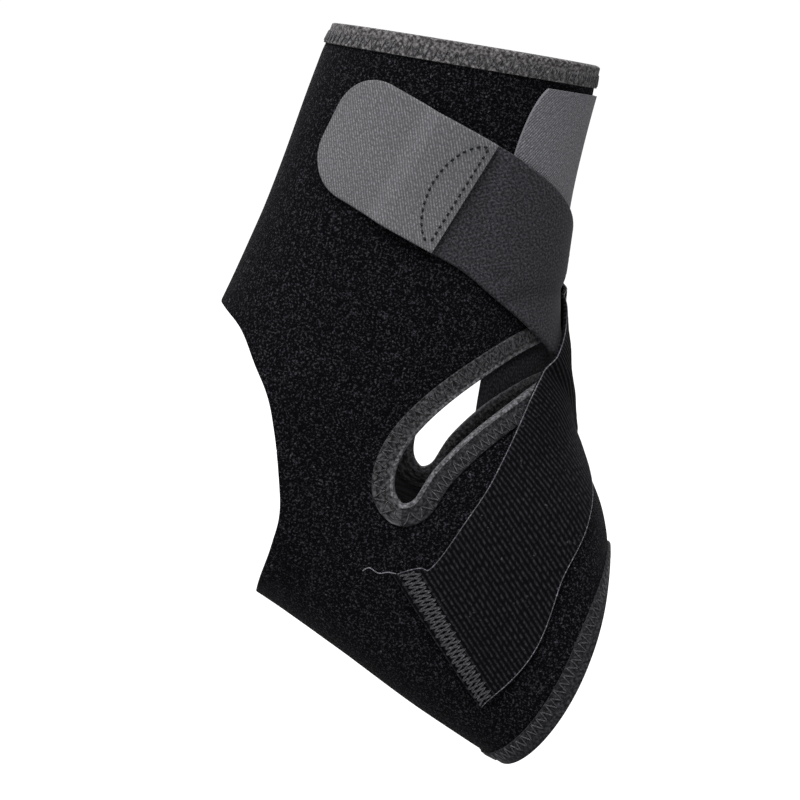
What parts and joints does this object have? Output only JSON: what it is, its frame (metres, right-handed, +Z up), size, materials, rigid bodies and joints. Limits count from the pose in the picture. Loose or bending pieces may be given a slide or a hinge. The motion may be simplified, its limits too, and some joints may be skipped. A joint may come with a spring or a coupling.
{
  "type": "ankle brace",
  "caption": "Open-heel foam ankle brace, worn shape: wrap round the leg, ring under the foot, instep opening and crossed elastic straps with hook tabs.",
  "frame": {"origin": "centre of the ankle joint that the brace is worn on, between the two ankle bones", "axes": "+Z up along the leg, +X forward toward the toes, -Y the outer (little toe) side of a right foot; the foot slopes about 22 degrees down"},
  "size_m": [0.1507, 0.0872, 0.2293],
  "materials": {
    "foam_cloth": "black brushed loop pile over foam",
    "binding": "dark grey folded stretch tape",
    "ribbed_elastic": "black elastic with cross ribs",
    "smooth_elastic": "dark grey close-knit elastic",
    "hook_tab": "grey hook fastener backing, fine twill"
  },
  "bodies": {
    "root": {"sleeve": "foam_cloth", "top_binding": "binding", "instep_binding": "binding", "forefoot_binding": "binding", "strap_outer": "ribbed_elastic", "strap_inner": "smooth_elastic", "tab_of_strap_outer": "hook_tab", "tab_of_strap_inner": "hook_tab", "closure_tab": "hook_tab"}
  },
  "joints": []
}
